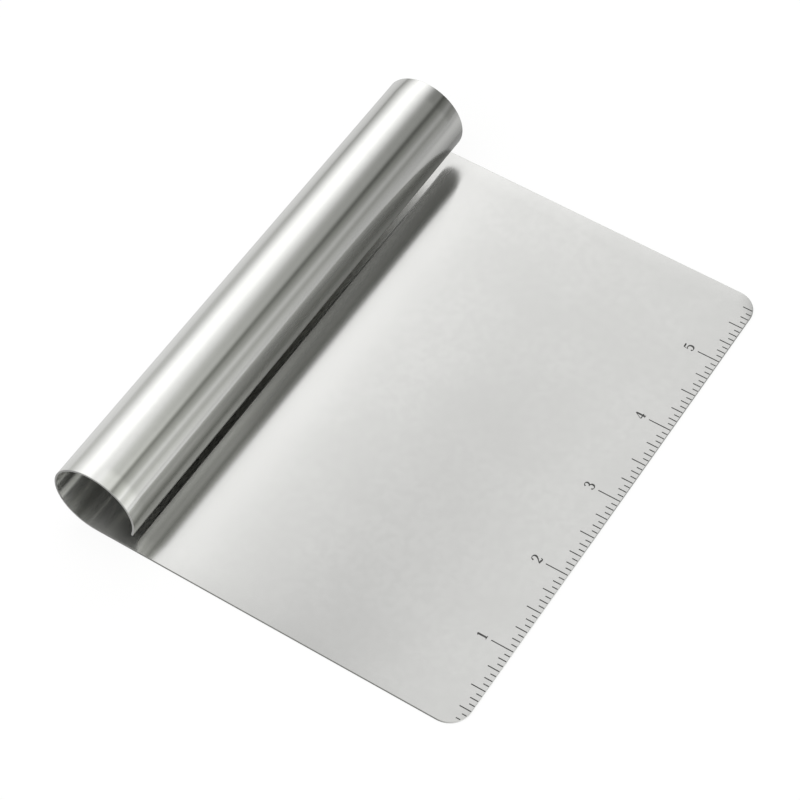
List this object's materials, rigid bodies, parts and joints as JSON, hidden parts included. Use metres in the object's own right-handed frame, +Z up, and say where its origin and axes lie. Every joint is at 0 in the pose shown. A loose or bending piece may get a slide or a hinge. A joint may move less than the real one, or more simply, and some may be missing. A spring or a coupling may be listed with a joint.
{
  "type": "dough scraper",
  "caption": "Flat stainless-steel dough scraper with rounded corners, one side rolled into an open tube handle and an inch scale along the scraping edge.",
  "frame": {"origin": "middle of the footprint, on the surface that the blade lies on", "axes": "+X along the handle and the inch scale in the direction it reads, +Y from the scraping edge to the handle, +Z up from the surface"},
  "size_m": [0.1494, 0.1138, 0.0225],
  "materials": {
    "satin_steel": "satin, fine random polish",
    "polished_steel": "bright, polished round the roll"
  },
  "bodies": {
    "root": {"blade": "satin_steel", "rolled_handle": "polished_steel"}
  },
  "joints": []
}
